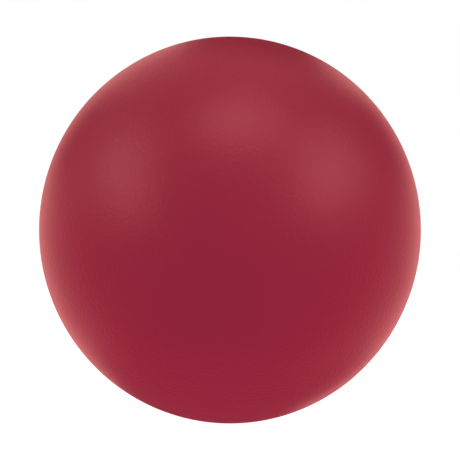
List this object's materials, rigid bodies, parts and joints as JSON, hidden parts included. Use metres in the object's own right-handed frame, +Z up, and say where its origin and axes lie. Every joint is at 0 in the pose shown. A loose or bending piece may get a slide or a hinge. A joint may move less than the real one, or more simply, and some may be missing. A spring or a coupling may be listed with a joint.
{
  "type": "playground ball",
  "caption": "Inflatable rubber playground ball with a smooth dark red cover, a wound thread layer, an airtight bladder and a needle valve with a pull-out core.",
  "frame": {"origin": "centre of the ball", "axes": "+Z up, along the ball's slightly longer diameter; +Y out through the needle valve; the parting line lies in the XZ plane"},
  "size_m": [0.2159, 0.2158, 0.2186],
  "materials": {
    "cover_rubber": "satin",
    "bladder_rubber": "matte",
    "winding_nylon": "matte",
    "valve_rubber": "satin"
  },
  "bodies": {
    "ball": {"cover_front": "cover_rubber", "cover_rear": "cover_rubber", "winding": "winding_nylon", "valve_pad": "bladder_rubber", "bladder_front": "bladder_rubber", "bladder_rear": "bladder_rubber", "bladder_seam_strip": "bladder_rubber", "valve_boot": "valve_rubber"},
    "core": {"valve_core": "valve_rubber"}
  },
  "joints": [
    {"name": "valve_core_pull", "type": "slide", "parent": "ball", "child": "core", "axis": [0, 1, 0], "range_m": [0, 0.024]}
  ]
}
